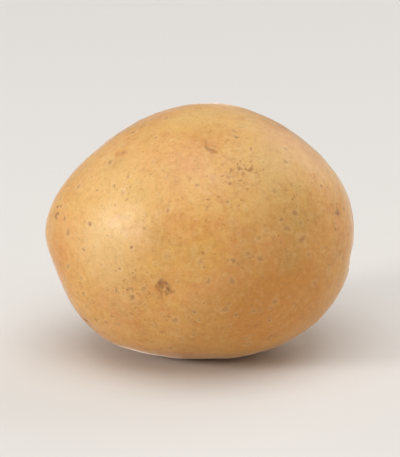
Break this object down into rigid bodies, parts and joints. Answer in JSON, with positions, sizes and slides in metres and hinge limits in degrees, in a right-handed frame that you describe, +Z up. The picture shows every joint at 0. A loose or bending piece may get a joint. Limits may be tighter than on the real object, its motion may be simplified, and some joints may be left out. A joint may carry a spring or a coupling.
{
  "type": "potato",
  "caption": "Small round yellow-skinned table potato, whole and unpeeled, with shallow eyes, lying on the small flat spot of its underside.",
  "frame": {"origin": "centre of the base of the bounding box, on the surface that the potato rests on", "axes": "+X along its length from the heel to the rose end, -Y the front, +Z up"},
  "size_m": [0.062, 0.056, 0.05],
  "materials": {
    "skin": "thin golden tan potato skin, smooth with a soft low sheen, faintly mottled and freckled with small brown pores"
  },
  "bodies": {
    "root": {"potato": "skin"}
  },
  "joints": []
}
